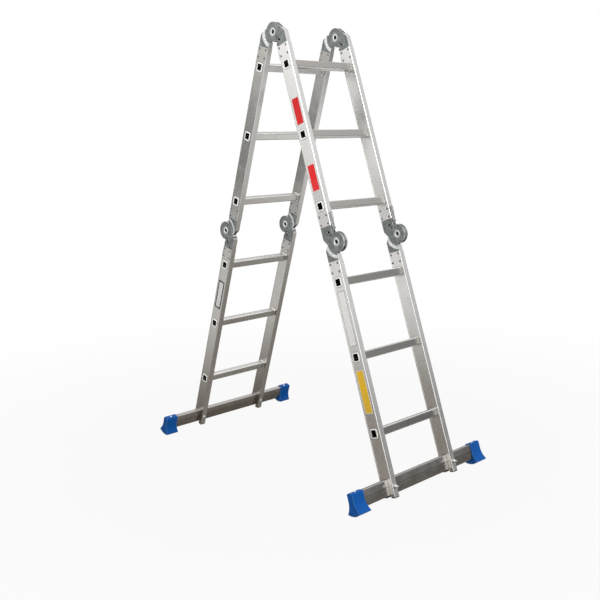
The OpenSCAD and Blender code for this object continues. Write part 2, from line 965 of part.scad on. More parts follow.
inner_plates(rear, left, false, below);  // top_hinge_plates_left
inner_plates(rear, right, false, below);  // top_hinge_plates_right
inner_plates(front, left, true, below);  // front_hinge_plates_left
inner_plates(front, right, true, below);  // front_hinge_plates_right
inner_plates(rear, left, true, above);  // rear_hinge_plates_left
inner_plates(rear, right, true, above);  // rear_hinge_plates_right

union() {  // front_upper_pivot_pins
    pivot_pins(front, false, below);
    pivot_pins(front, true, above);
}
pivot_pins(rear, true, below);  // rear_lower_pivot_pins
union() {  // rear_upper_hinge_bushes
    bushes(rear, false, below);
    bushes(rear, true, above);
}
bushes(front, true, below);  // front_lower_hinge_bushes

lock_pin(front, left, false, below);  // top_lock_pin_left
lock_pin(front, right, false, below);  // top_lock_pin_right
lock_pin(front, left, true, above);  // front_lock_pin_left
lock_pin(front, right, true, above);  // front_lock_pin_right
lock_pin(rear, left, true, below);  // rear_lock_pin_left
lock_pin(rear, right, true, below);  // rear_lock_pin_right

lock_lever(front, left, false, below);  // top_lock_lever_left
lock_lever(front, right, false, below);  // top_lock_lever_right
lock_lever(front, left, true, above);  // front_lock_lever_left
lock_lever(front, right, true, above);  // front_lock_lever_right
lock_lever(rear, left, true, below);  // rear_lock_lever_left
lock_lever(rear, right, true, below);  // rear_lock_lever_right

union() {  // front_upper_lock_springs
    lock_springs(front, false, below);
    lock_springs(front, true, above);
}
lock_springs(rear, true, below);  // rear_lower_lock_springs

union() {  // front_upper_rivets
    hinge_rivets(front, false, below);
    hinge_rivets(front, true, above);
    spring_posts(front, false, below);
    spring_posts(front, true, above);
}
hinge_rivets(front, true, below);  // front_lower_rivets
union() {  // rear_upper_rivets
    hinge_rivets(rear, false, below);
    hinge_rivets(rear, true, above);
}
union() {  // rear_lower_rivets
    hinge_rivets(rear, true, below);
    spring_posts(rear, true, below);
}

stabiliser_bar(front);  // front_stabiliser_bar
stabiliser_bar(rear);  // rear_stabiliser_bar
foot(front, left);  // front_left_foot
foot(front, right);  // front_right_foot
foot(rear, left);  // rear_left_foot
foot(rear, right);  // rear_right_foot
bar_bolts(front);  // front_bar_bolts
bar_bolts(rear);  // rear_bar_bolts
bar_nuts(front);  // front_bar_nuts
bar_nuts(rear);  // rear_bar_nuts
rail_plugs(front);  // front_rail_plugs
rail_plugs(rear);  // rear_rail_plugs
foot_screws(front);  // front_foot_screws
foot_screws(rear);  // rear_foot_screws
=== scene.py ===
import json
import math

import bmesh
import bpy
from mathutils import Matrix, Vector


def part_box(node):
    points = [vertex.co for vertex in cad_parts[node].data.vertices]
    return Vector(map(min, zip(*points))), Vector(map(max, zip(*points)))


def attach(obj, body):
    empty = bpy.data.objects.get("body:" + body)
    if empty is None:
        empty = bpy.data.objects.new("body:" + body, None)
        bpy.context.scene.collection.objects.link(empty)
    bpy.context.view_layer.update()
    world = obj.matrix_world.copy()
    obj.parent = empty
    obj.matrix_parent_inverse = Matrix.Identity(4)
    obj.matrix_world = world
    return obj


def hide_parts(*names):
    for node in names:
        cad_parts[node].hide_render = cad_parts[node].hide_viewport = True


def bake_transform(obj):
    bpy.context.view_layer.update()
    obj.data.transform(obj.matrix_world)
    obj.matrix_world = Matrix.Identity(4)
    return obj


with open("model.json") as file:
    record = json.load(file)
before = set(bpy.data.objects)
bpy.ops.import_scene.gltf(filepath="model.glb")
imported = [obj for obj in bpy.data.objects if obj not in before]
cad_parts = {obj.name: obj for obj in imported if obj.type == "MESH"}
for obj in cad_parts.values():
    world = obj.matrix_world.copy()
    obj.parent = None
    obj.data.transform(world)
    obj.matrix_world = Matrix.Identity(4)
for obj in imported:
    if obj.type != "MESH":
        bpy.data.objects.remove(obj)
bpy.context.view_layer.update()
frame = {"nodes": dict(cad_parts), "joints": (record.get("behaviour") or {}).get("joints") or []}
nodes = frame["nodes"]
joints = {joint["name"]: joint for joint in frame["joints"]}

# Sizes that the pieces are placed by, in metres; the joints give the leg's lean and its pivots
MM = 0.001
FRONT, REAR = 1, -1
LEG_NAMES = {FRONT: "front", REAR: "rear"}
BEAD_HEIGHT = 0.6 * MM
RUNG_PITCH = 280 * MM
lean = math.radians(-joints["top_fold"]["range_deg"][0] / 2)
top_pivot = Vector(joints["top_fold"]["pos_m"])
rail_low, rail_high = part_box("front_upper_rail_left")
rail_x = -(rail_low.x + rail_high.x) / 2
web_x = -rail_low.x - BEAD_HEIGHT
pin_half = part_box("front_upper_pivot_pins")[1].x - rail_x
pivots = {hinge: Vector(joints[f"{hinge}_fold"]["pos_m"]) for hinge in ("top", "front", "rear")}

# Painted highlights on the hinge plates, by the distance from a pivot: on the wall of its dish, and on the
# band of a plate's bend
DISH_RIM = 12 * MM, 17.5 * MM
BEND = 47.6 * MM, 62 * MM
BAND_FADE = 2 * MM

# A pivot's bore has painted shade deeper than its lip, the feet's edges have wear and a painted highlight,
# and rungs have dull rims, painted bright as a highlight
BORE_R, BORE_FADE, BORE_LIP = 7.8 * MM, 0.5 * MM, 6 * MM
EDGE_WEAR_AND_HIGHLIGHT_R = 3 * MM
RIM_DULL = 0.4

# Colours of the aluminium: the rails' flanges and webs, where the rear leg's and the webs' darker colours are
# painted shade, the rungs and the painted shade on their faces, darker on the lower section, and the bars
RAIL_COLOURS = {FRONT: (0.79, 0.785, 0.775), REAR: (0.72, 0.71, 0.69)}
WEB_SHADES = {FRONT: (0.72, 0.71, 0.69), REAR: (0.50, 0.485, 0.46)}
RUNG_COLOUR = (0.94, 0.93, 0.91)
RUNG_FACE_SHADES = {"upper": (0.42, 0.40, 0.38), "lower": (0.24, 0.23, 0.215)}
BAR_COLOUR = (0.50, 0.48, 0.46)


def leg_axes(side):
    """A leg's own directions: outwards, square to its rungs, and down along its rails."""
    outwards = Vector((0.0, -side * math.cos(lean), math.sin(lean)))
    down = Vector((0.0, -side * math.sin(lean), -math.cos(lean)))
    return outwards, down


def leg_reach(name, side):
    """Lowest and highest place of a node in its leg's frame: across, outwards and down from the top pivot."""
    outwards, down = leg_axes(side)
    spots = [vertex.co - top_pivot for vertex in nodes[name].data.vertices]
    places = [(spot.x, spot.dot(outwards), spot.dot(down)) for spot in spots]
    return [Vector(pick(place[i] for place in places) for i in range(3)) for pick in (min, max)]


# Shader graphs

class Graph:
    """The nodes of a new material, or of the world, laid out by short calls."""

    def __init__(self, owner):
        self.material = bpy.data.materials.new(owner) if isinstance(owner, str) else owner
        self.material.use_nodes = True
        self.tree = self.material.node_tree
        self.tree.nodes.clear()

    def add(self, kind, inputs=None, **settings):
        node = self.tree.nodes.new(kind)
        for key, value in settings.items():
            setattr(node, key, value)
        for key, value in (inputs or {}).items():
            if isinstance(value, bpy.types.NodeSocket):
                self.tree.links.new(value, node.inputs[key])
            else:
                node.inputs[key].default_value = value
        return node

    def noise(self, place, scale, detail=3.0, rough=0.55):
        """Cloudy noise; scale is a triple, in waves per metre along each axis."""
        stretched = self.add("ShaderNodeMapping", {"Vector": place, "Scale": scale})
        found = self.add("ShaderNodeTexNoise", {"Vector": stretched.outputs["Vector"], "Scale": 1.0,
                                                "Detail": detail, "Roughness": rough})
        return found.outputs["Fac"]

    def ramp(self, value, low, high, to_low=0.0, to_high=1.0):
        """Value, between low and high, mapped to the range from to_low to to_high."""
        mapped = self.add("ShaderNodeMapRange", {"Value": value, "From Min": low, "From Max": high,
                                                 "To Min": to_low, "To Max": to_high})
        return mapped.outputs["Result"]

    def mix(self, share, first, second):
        mixed = self.add("ShaderNodeMix", data_type="RGBA")
        for socket, value in zip((0, 6, 7), (share, first, second)):
            if isinstance(value, bpy.types.NodeSocket):
                self.tree.links.new(value, mixed.inputs[socket])
            else:
                mixed.inputs[socket].default_value = value
        return mixed.outputs[2]

    def math(self, operation, first, second=0.0):
        done = self.add("ShaderNodeMath", operation=operation)
        for socket, value in enumerate((first, second)):
            if isinstance(value, bpy.types.NodeSocket):
                self.tree.links.new(value, done.inputs[socket])
            else:
                done.inputs[socket].default_value = value
        return done.outputs[0]

    def bump(self, height, strength, depth, normal=None):
        inputs = {"Height": height, "Strength": strength, "Distance": depth}
        if normal is not None:
            inputs["Normal"] = normal
        return self.add("ShaderNodeBump", inputs).outputs["Normal"]

    def crevice_shade(self, paint, painted_shade, depth):
        """The paint, with painted shade in corners and slots narrower than the depth."""
        open_sky = self.add("ShaderNodeAmbientOcclusion", {"Distance": depth}, samples=8).outputs["AO"]
        return self.mix(self.ramp(open_sky, 0.3, 0.7, 0.85, 0.0), paint, painted_shade)

    def parts(self, vector):
        return self.add("ShaderNodeSeparateXYZ", {"Vector": vector}).outputs

    def dot(self, first, second):
        product = self.add("ShaderNodeVectorMath", {0: first, 1: second}, operation="DOT_PRODUCT")
        return product.outputs["Value"]

    def length(self, vector):
        return self.add("ShaderNodeVectorMath", {0: vector}, operation="LENGTH").outputs["Value"]

    def surface(self, inputs):
        shader = self.add("ShaderNodeBsdfPrincipled", inputs)
        self.add("ShaderNodeOutputMaterial", {"Surface": shader.outputs["BSDF"]})
        return self.material


def rgb(red, green, blue):
    return (red, green, blue, 1.0)


def leg_coordinates(graph, side, kind="Object"):
    """Places, or normals, in a leg's own frame, where Z runs up along the rails."""
    place = graph.add("ShaderNodeTexCoord").outputs[kind]
    turned = graph.add("ShaderNodeMapping", {"Vector": place, "Rotation": (side * lean, 0.0, 0.0)})
    return turned.outputs["Vector"]


def extruded_aluminium(name, side, colour, painted_shading_and_marks, along_x=False, roughness=0.24):
    """Satin extruded metal: fine die lines along its length, broad soft streaks and a few smudges.
    A given function changes the colour, with painted shade, painted highlights and dirt, and the roughness by
    the place on the piece."""
    graph = Graph(name)
    place = leg_coordinates(graph, side)
    fine = (8.0, 900.0, 900.0) if along_x else (900.0, 900.0, 8.0)
    broad = (1.5, 70.0, 70.0) if along_x else (70.0, 70.0, 1.5)
    die_lines = graph.noise(place, fine, 2.0)
    streaks = graph.noise(place, broad, 3.0)
    smudges = graph.noise(place, (22.0, 22.0, 22.0), 5.0, 0.6)
    tone = graph.math("ADD", graph.ramp(streaks, 0.3, 0.7, 0.0, 0.6),
                      graph.ramp(die_lines, 0.3, 0.7, 0.0, 0.4))
    dull = rgb(*(0.84 * c for c in colour))
    paint = graph.mix(tone, dull, rgb(*colour))
    rough = graph.math("ADD", graph.ramp(smudges, 0.35, 0.7, roughness - 0.02, roughness + 0.04),
                       graph.ramp(die_lines, 0.3, 0.7, -0.02, 0.03))
    paint, rough = painted_shading_and_marks(graph, place, paint, rough)
    return graph.surface({"Base Color": paint, "Metallic": 1.0, "Roughness": rough,
                          "Normal": graph.bump(die_lines, 0.04, 0.0002)})


def rung_seat_lines(side, section):
    """For a rail: painted shade on its webs, and a dark line of dirt and painted shade round each rung's
    swaged rim.
    """
    low, high = leg_reach(f"{LEG_NAMES[side]}_{section}_rungs", side)
    half_tall = (high.z - low.z) / 2 - RUNG_PITCH
    half_deep = (high.y - low.y) / 2
    middle = (high.y + low.y) / 2
    first = low.z + half_tall
    lean_out, lean_up = top_pivot.z * math.sin(lean), top_pivot.z * math.cos(lean)

    def painted_shading_and_marks(graph, place, paint, rough):
        spot = graph.parts(place)
        outwards = graph.math("SUBTRACT", graph.math("MULTIPLY", spot["Y"], -side), lean_out + middle)
        down = graph.math("SUBTRACT", lean_up - first, spot["Z"])
        nearest = graph.math("PINGPONG", down, RUNG_PITCH / 2)
        across = graph.math("POWER", graph.math("DIVIDE", graph.math("ABSOLUTE", outwards), half_deep), 4.0)
        along = graph.math("POWER", graph.math("DIVIDE", nearest, half_tall), 4.0)
        ring = graph.math("ADD", across, along)
        # A dark line of dirt and painted shade round each rung's rim
        dirt_and_shade_line = graph.ramp(ring, 1.0, 1.9, 0.75, 0.0)
        # Painted shade on the webs, picked by the way a face points
        facing = graph.math("ABSOLUTE", graph.parts(leg_coordinates(graph, side, "Normal"))["X"])
        shaded_web = graph.mix(graph.ramp(facing, 0.8, 0.98), paint, rgb(*WEB_SHADES[side]))
        return graph.mix(dirt_and_shade_line, shaded_web, rgb(0.10, 0.095, 0.09)), rough

    return painted_shading_and_marks


def rung_faces(side, face_shade_colour):
    """For rungs: painted shade on the grooved faces, the outer ones most, and a painted highlight on the rims
    outside the rails.
    """
    def painted_shading_and_marks(graph, place, paint, rough):
        # Painted shade on the rungs' faces, most on the outer ones
        facing = graph.math("MULTIPLY", graph.parts(leg_coordinates(graph, side, "Normal"))["Y"], -side)
        inner = graph.mix(graph.ramp(facing, -0.8, -0.99, 0.0, 0.4), paint, rgb(*face_shade_colour))
        painted_light_and_wear = graph.mix(graph.ramp(facing, 0.8, 0.99, 0.0, 0.9), inner, rgb(*face_shade_colour))
        # Painted highlight on each rung's rim outside the rail, which is also rougher
        end = graph.math("ABSOLUTE", graph.parts(place)["X"])
        rim = graph.ramp(end, web_x, web_x + 0.4 * MM)
        dulled = graph.math("ADD", rough, graph.math("MULTIPLY", rim, RIM_DULL))
        return graph.mix(rim, painted_light_and_wear, rgb(0.96, 0.96, 0.95)), dulled

    return painted_shading_and_marks


def bar_faces(side):
    """For the stabiliser bars: a thin dark line along the face, painted shade of a groove, and painted shade
    on the lower half, duller and browner.
    """
    low, high = leg_reach(f"{LEG_NAMES[side]}_stabiliser_bar", side)
    top_up = top_pivot.z * math.cos(lean) - low.z
    tall = high.z - low.z

    def painted_shading_and_marks(graph, place, paint, rough):
        below = graph.math("DIVIDE", graph.math("SUBTRACT", top_up, graph.parts(place)["Z"]), tall)
        # Painted shade: the lower half duller and browner, and a thin dark line along a groove
        shaded_lower_half = graph.mix(graph.ramp(below, 0.35, 0.6, 0.0, 0.7), paint, rgb(0.33, 0.30, 0.27))
        apart = graph.math("ABSOLUTE", graph.math("SUBTRACT", below, 0.46))
        return graph.mix(graph.ramp(apart, 0.01, 0.03, 0.6, 0.0), shaded_lower_half, rgb(0.12, 0.115, 0.11)), rough

    return painted_shading_and_marks


def pivot_reach(graph, place, pivot):
    """The distance of a place from a pivot's axis."""
    apart = graph.add("ShaderNodeVectorMath", {0: place, 1: pivot}, operation="SUBTRACT").outputs["Vector"]
    spot = graph.parts(apart)
    flat = graph.add("ShaderNodeCombineXYZ", {"Y": spot["Y"], "Z": spot["Z"]}).outputs["Vector"]
    return graph.length(flat)


def zinc_plate(name, dull=(0.14, 0.15, 0.15), fair=(0.29, 0.31, 0.305), painted_edge_highlights=True, pivot=None,
               painted_light_and_wear=None):
    """Zinc plated sheet: a cloudy grey with faint warm and cool tints, fine scratches, cut edges painted
    bright as a highlight, and painted shade in corners.
    Round a pivot, a band of the plate is painted bright as a highlight, from one distance to another."""
    graph = Graph(name)
    place = graph.add("ShaderNodeTexCoord").outputs["Object"]
    clouds = graph.noise(place, (60.0, 60.0, 60.0), 5.0, 0.6)
    tints = graph.noise(place, (34.0, 34.0, 34.0), 3.0)
    grain = graph.noise(place, (420.0, 420.0, 420.0), 4.0, 0.65)
    grey = graph.mix(graph.ramp(clouds, 0.3, 0.7), rgb(*dull), rgb(*fair))
    warm = graph.mix(graph.ramp(tints, 0.5, 0.75, 0.0, 0.3), grey, rgb(0.33, 0.31, 0.25))
    paint = graph.mix(graph.ramp(tints, 0.45, 0.25, 0.0, 0.3), warm, rgb(0.24, 0.29, 0.32))
    if painted_edge_highlights:
        # Painted highlight on the plate's cut edges
        facing = graph.math("ABSOLUTE", graph.parts(graph.add("ShaderNodeTexCoord").outputs["Normal"])["X"])
        paint = graph.mix(graph.ramp(facing, 0.8, 0.45), paint, rgb(0.82, 0.83, 0.83))
    if pivot:
        # Painted highlight on a band round the pivot
        reach = pivot_reach(graph, place, pivot)
        start, end = painted_light_and_wear
        band = graph.math("MULTIPLY", graph.ramp(reach, start, start + BAND_FADE),
                          graph.ramp(reach, end, end - BAND_FADE))
        paint = graph.mix(band, paint, rgb(0.74, 0.75, 0.75))
    # Painted shade in corners and narrow slots
    paint = graph.crevice_shade(paint, rgb(0.03, 0.03, 0.03), 5 * MM)
    rough = graph.math("ADD", graph.ramp(clouds, 0.3, 0.7, 0.44, 0.32),
                       graph.ramp(grain, 0.3, 0.7, -0.05, 0.06))
    return graph.surface({"Base Color": paint, "Metallic": 1.0, "Roughness": rough,
                          "Normal": graph.bump(grain, 0.10, 0.0003)})


def bright_metal(name, colour, roughness, bored_at=()):
    """Bright metal with small scratches and dull spots, and painted shade inside its bores through pivots."""
    graph = Graph(name)
    place = graph.add("ShaderNodeTexCoord").outputs["Object"]
    spots = graph.noise(place, (240.0, 240.0, 240.0), 4.0, 0.6)
    scratches = graph.noise(place, (1400.0, 260.0, 260.0), 3.0)
    paint = graph.mix(graph.ramp(spots, 0.35, 0.7), rgb(*(0.78 * c for c in colour)), rgb(*colour))
    # Painted shade inside each pivot's bore, deeper than its lip
    for pivot in bored_at:
        bore = graph.ramp(pivot_reach(graph, place, pivot), BORE_R, BORE_R + BORE_FADE, 1.0, 0.0)
        across = graph.math("ABSOLUTE", graph.parts(place)["X"])
        from_middle = graph.math("ABSOLUTE", graph.math("SUBTRACT", across, rail_x))
        deep = graph.ramp(from_middle, pin_half - BORE_LIP, pin_half, 1.0, 0.0)
        paint = graph.mix(graph.math("MULTIPLY", bore, deep), paint, rgb(0.05, 0.055, 0.055))
    rough = graph.ramp(spots, 0.3, 0.7, roughness + 0.08, roughness - 0.04)
    return graph.surface({"Base Color": paint, "Metallic": 1.0, "Roughness": rough,
                          "Normal": graph.bump(scratches, 0.08, 0.0002)})


def moulded_plastic(name, colour, scuffed, roughness=0.42, shine=0.5, painted_light_and_wear=None):
    """Moulded plastic with a fine grain, cloudy colour, and pale scuffs near the floor.
    Where an edge colour is given, the edges take it, as wear and a painted highlight."""
    graph = Graph(name)
    place = graph.add("ShaderNodeTexCoord").outputs["Object"]
    grain = graph.noise(place, (1500.0, 1500.0, 1500.0), 2.0)
    clouds = graph.noise(place, (45.0, 45.0, 45.0), 3.0)
    scuffs = graph.noise(place, (160.0, 160.0, 420.0), 5.0, 0.65)
    near_floor = graph.ramp(graph.parts(place)["Z"], 0.0, 0.03, 0.32, 0.0)
    wear = graph.math("MULTIPLY", graph.ramp(scuffs, 0.52, 0.72), near_floor)
    body = graph.mix(graph.ramp(clouds, 0.3, 0.7), rgb(*(0.86 * c for c in colour)), rgb(*colour))
    if painted_light_and_wear:
        # Edges worn and painted with a highlight, found by a rounded normal
        rounded = graph.add("ShaderNodeBevel", {"Radius": EDGE_WEAR_AND_HIGHLIGHT_R}, samples=8).outputs["Normal"]
        flat = graph.add("ShaderNodeNewGeometry").outputs["True Normal"]
        body = graph.mix(graph.ramp(graph.dot(rounded, flat), 0.97, 0.85, 0.0, 0.75), body, rgb(*painted_light_and_wear))
    # Painted shade in the grooves and corners
    paint = graph.crevice_shade(graph.mix(wear, body, rgb(*scuffed)), rgb(*(0.06 * c for c in colour)), 8 * MM)
    rough = graph.math("ADD", graph.ramp(clouds, 0.3, 0.7, roughness - 0.04, roughness + 0.05), wear)
    return graph.surface({"Base Color": paint, "Roughness": rough, "Specular IOR Level": shine,
                          "Normal": graph.bump(grain, 0.10, 0.0003)})


def sticker_film(name, colour):
    """Printed plastic film, slightly glossy, with faint scuffs and fading."""
    graph = Graph(name)
    place = graph.add("ShaderNodeTexCoord").outputs["Object"]
    fading = graph.noise(place, (30.0, 30.0, 30.0), 4.0)
    scuffs = graph.noise(place, (260.0, 260.0, 90.0), 5.0, 0.65)
    faded = rgb(*(0.9 * c + 0.03 for c in colour))
    paint = graph.mix(graph.ramp(fading, 0.35, 0.7), rgb(*colour), faded)
    rough = graph.ramp(scuffs, 0.35, 0.75, 0.34, 0.55)
    return graph.surface({"Base Color": paint, "Roughness": rough, "Specular IOR Level": 0.25,
                          "Normal": graph.bump(scuffs, 0.05, 0.0002)})


# The finishes

rail_metal, rung_metal, bar_metal = {}, {}, {}
for side, leg in LEG_NAMES.items():
    for section in ("upper", "lower"):
        rail_metal[side, section] = extruded_aluminium(
            f"rail_aluminium_{leg}_{section}", side, RAIL_COLOURS[side], painted_shading_and_marks=rung_seat_lines(side, section))
        rung_metal[side, section] = extruded_aluminium(
            f"rung_aluminium_{leg}_{section}", side, RUNG_COLOUR, along_x=True, roughness=0.26,
            painted_shading_and_marks=rung_faces(side, RUNG_FACE_SHADES[section]))
    bar_metal[side] = extruded_aluminium(
        f"bar_aluminium_{leg}", side, BAR_COLOUR, along_x=True, roughness=0.18, painted_shading_and_marks=bar_faces(side))
# Rail edges: wear and a painted highlight along the broken edges
rail_edge_wear_and_highlight = bright_metal("aluminium_edge_wear_and_highlight", (0.88, 0.87, 0.85), 0.26)
zinc = zinc_plate("zinc_steel")
# Painted highlights round each pivot: on the cheeks' dish walls and on the plates' bends
cheek_zinc = {hinge: zinc_plate(f"zinc_steel_{hinge}_cheeks", pivot=pivot, painted_light_and_wear=DISH_RIM)
              for hinge, pivot in pivots.items()}
bent_zinc = {hinge: zinc_plate(f"zinc_steel_{hinge}_plates", pivot=pivot, painted_light_and_wear=BEND)
             for hinge, pivot in pivots.items()}
lever_zinc = zinc_plate("zinc_steel_levers", (0.30, 0.31, 0.31), (0.50, 0.51, 0.51), painted_edge_highlights=False)
# Plate edges: wear and a painted highlight along the broken edges
plate_edge_wear_and_highlight = bright_metal("zinc_edge_wear_and_highlight", (0.78, 0.79, 0.78), 0.28)
bright_steel = bright_metal("bright_steel", (0.86, 0.86, 0.85), 0.28)
pivot_steel = bright_metal("pivot_steel", (0.94, 0.94, 0.93), 0.42, bored_at=pivots.values())
# Dark steel for rivets and lock pins: painted shade of their recesses and slots
shade_dark_steel = bright_metal("shade_dark_steel", (0.26, 0.26, 0.26), 0.24)
spring_steel = bright_metal("spring_steel", (0.55, 0.55, 0.56), 0.32)
# The feet: wear and a painted highlight along their edges, on the rounded edges and on the bevels
blue_plastic = moulded_plastic("blue_plastic", (0.001, 0.13, 0.54), (0.30, 0.38, 0.52), shine=0.22,
                               painted_light_and_wear=(0.14, 0.40, 0.84))
foot_edge_wear_and_highlight = moulded_plastic("blue_plastic_edge_wear_and_highlight", (0.32, 0.52, 0.86), (0.40, 0.48, 0.60), shine=0.5)
dark_plastic = moulded_plastic("dark_plastic", (0.035, 0.035, 0.038), (0.20, 0.20, 0.20), 0.5)


# The CAD nodes: each gets its finish, and edges that are broken as on the real piece

SAME_SPOT = 0.01 * MM
FLAT_ANGLE, SHARP_ANGLE = math.radians(0.5), math.radians(40)


def dress(name, material, edge=None, width=0.0):
    """Gives a node its material and, where a width is given, broken edges with a material of their own."""
    obj = nodes[name]
    obj.data.materials.clear()
    obj.data.materials.append(material)
    if width:
        obj.data.materials.append(edge)
        weld = obj.modifiers.new("join_faces", "WELD")
        weld.merge_threshold = SAME_SPOT
        flat = obj.modifiers.new("flat_faces", "DECIMATE")
        flat.decimate_type = "DISSOLVE"
        flat.angle_limit = FLAT_ANGLE
        bevel = obj.modifiers.new("broken_edges", "BEVEL")
        bevel.width = width
        bevel.segments = 2
        bevel.limit_method = "ANGLE"
        bevel.angle_limit = SHARP_ANGLE
        bevel.material = 1
        bevel.use_clamp_overlap = True
        shade = obj.modifiers.new("even_shading", "WEIGHTED_NORMAL")
        shade.keep_sharp = False


def side_of(name):
    return REAR if name.startswith("rear") else FRONT


for name in nodes:
    section = "upper" if "upper" in name else "lower"
    if name.endswith("_rungs"):
        dress(name, rung_metal[side_of(name), section])
    elif "stabiliser_bar" in name:
        dress(name, bar_metal[side_of(name)])
    elif "rail_plugs" in name:
        dress(name, dark_plastic)
    elif "_rail_" in name:
        dress(name, rail_metal[side_of(name), section], rail_edge_wear_and_highlight, 0.7 * MM)
    elif name.endswith("_foot"):
        dress(name, blue_plastic, foot_edge_wear_and_highlight, 1.4 * MM)
    elif "springs" in name:
        dress(name, spring_steel)
    # Rivets and lock pins are darkened as painted shade
    elif "rivets" in name or "lock_pin" in name:
        dress(name, shade_dark_steel)
    elif "pivot_pins" in name:
        dress(name, pivot_steel)
    elif any(word in name for word in ("screws", "bolts")):
        dress(name, bright_steel)
    elif "lever" in name:
        dress(name, lever_zinc, plate_edge_wear_and_highlight, 0.4 * MM)
    elif "hinge_cheeks" in name:
        dress(name, cheek_zinc[name.split("_")[0]], plate_edge_wear_and_highlight, 0.5 * MM)
    elif "hinge_plates" in name:
        dress(name, bent_zinc[name.split("_")[0]], plate_edge_wear_and_highlight, 0.5 * MM)
    else:
        dress(name, zinc, plate_edge_wear_and_highlight, 0.5 * MM)


# Helical springs of the locks: each stretches between its post on the rail and the ear of its lock

SPRING_NODES = {"top": "front_upper_lock_springs", "front": "front_upper_lock_springs",
                "rear": "rear_lower_lock_springs"}
SPRING_SEARCH = 90 * MM
SPRING_TURNS = 5
SPRING_CLOSING = 0.3
WIRE_R = 0.7 * MM
TURN_STEPS, WIRE_SIDES = 20, 8


def new_piece(name, points, faces, materials):
    mesh = bpy.data.meshes.new(name)
    mesh.from_pydata(points, [], faces)
    for material in materials:
        mesh.materials.append(material)
    piece = bpy.data.objects.new(name, mesh)
    bpy.context.scene.collection.objects.link(piece)
    return piece


def spring_space(node, pivot, radial):
    """Where a spring starts and ends along its line from the pivot, and its outer radius."""
    spots = [vertex.co - pivot for vertex in nodes[node].data.vertices]
    near = [spot for spot in spots if spot.length < SPRING_SEARCH]
    along = [spot.dot(radial) for spot in near]
    across = max((spot - spot.dot(radial) * radial).length for spot in near)
    return min(along), max(along), across


def helix_wire(name, start, axis, length, outer):
    """A compression spring of round wire, its turns closer together at both ends."""
    level = axis.orthogonal().normalized()
    square = axis.cross(level)
    steps = SPRING_TURNS * TURN_STEPS
    coil_r = outer - WIRE_R
    points, faces = [], []
    for step in range(steps + 1):
        share = step / steps
        turn = math.tau * SPRING_TURNS * share
        eased = share - SPRING_CLOSING * math.sin(math.tau * share) / math.tau
        rise = WIRE_R + (length - 2 * WIRE_R) * eased
        outwards = math.cos(turn) * level + math.sin(turn) * square
        centre = start + rise * axis + coil_r * outwards
        for side in range(WIRE_SIDES):
            angle = math.tau * side / WIRE_SIDES
            points.append(centre + WIRE_R * (math.cos(angle) * outwards + math.sin(angle) * axis))
    for step in range(steps):
        for side in range(WIRE_SIDES):
            here = step * WIRE_SIDES + side
            beside = step * WIRE_SIDES + (side + 1) % WIRE_SIDES
            faces.append((here, beside, beside + WIRE_SIDES, here + WIRE_SIDES))
    faces.append(tuple(range(WIRE_SIDES))[::-1])
    faces.append(tuple(steps * WIRE_SIDES + side for side in range(WIRE_SIDES)))
    piece = new_piece(name, points, faces, [spring_steel])
    piece.data.shade_smooth()
    return piece


for hinge, node in SPRING_NODES.items():
    for hand, x in (("left", -rail_x), ("right", rail_x)):
        slide = joints[f"{hinge}_lock_{hand}_slide"]
        radial = -Vector(slide["axis"])
        pivot = pivots[hinge] + Vector((x, 0.0, 0.0))
        ear_end, post_end, outer = spring_space(node, pivot, radial)
        ear = pivot + ear_end * radial
        spring = helix_wire(f"{hinge}_lock_spring_{hand}", ear, radial, post_end - ear_end, outer)
        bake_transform(spring)
        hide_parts(node)


# Blank stickers on the outer webs of the left rails

STICKER_W, STICKER_T, STICKER_R = 38 * MM, 0.25 * MM, 2.5 * MM
STICKER_EDGE = 0.15 * MM
CORNER_STEPS = 6

red_film = sticker_film("red_film", (0.90, 0.016, 0.018))
white_film = sticker_film("white_film", (0.84, 0.84, 0.83))
grey_film = sticker_film("grey_film", (0.26, 0.26, 0.26))
yellow_film = sticker_film("yellow_film", (0.92, 0.57, 0.03))
black_film = sticker_film("black_film", (0.015, 0.015, 0.016))

# Each sticker's leg, section, reach down the leg in millimetres, field, border and the border's width
STICKERS = {
    "red_sticker_high": (FRONT, "upper", (281, 385), red_film, white_film, 1.2),
    "red_sticker_low": (FRONT, "upper", (543, 645), red_film, white_film, 1.2),
    "white_sticker": (FRONT, "lower", (1028, 1234), white_film, grey_film, 1.8),
    "yellow_sticker": (FRONT, "lower", (1324, 1482), yellow_film, white_film, 2.0),
    "black_edged_sticker": (REAR, "lower", (1072, 1200), white_film, black_film, 6.0),
}


def rounded_outline(half_w, half_l, corner_r):
    """The corners of a rounded rectangle, in order round it."""
    outline = []
    for corner, (u_sign, v_sign) in enumerate(((1, 1), (-1, 1), (-1, -1), (1, -1))):
        for step in range(CORNER_STEPS + 1):
            angle = math.pi / 2 * (corner + step / CORNER_STEPS)
            outline.append((u_sign * (half_w - corner_r) + corner_r * math.cos(angle),
                            v_sign * (half_l - corner_r) + corner_r * math.sin(angle)))
    return outline


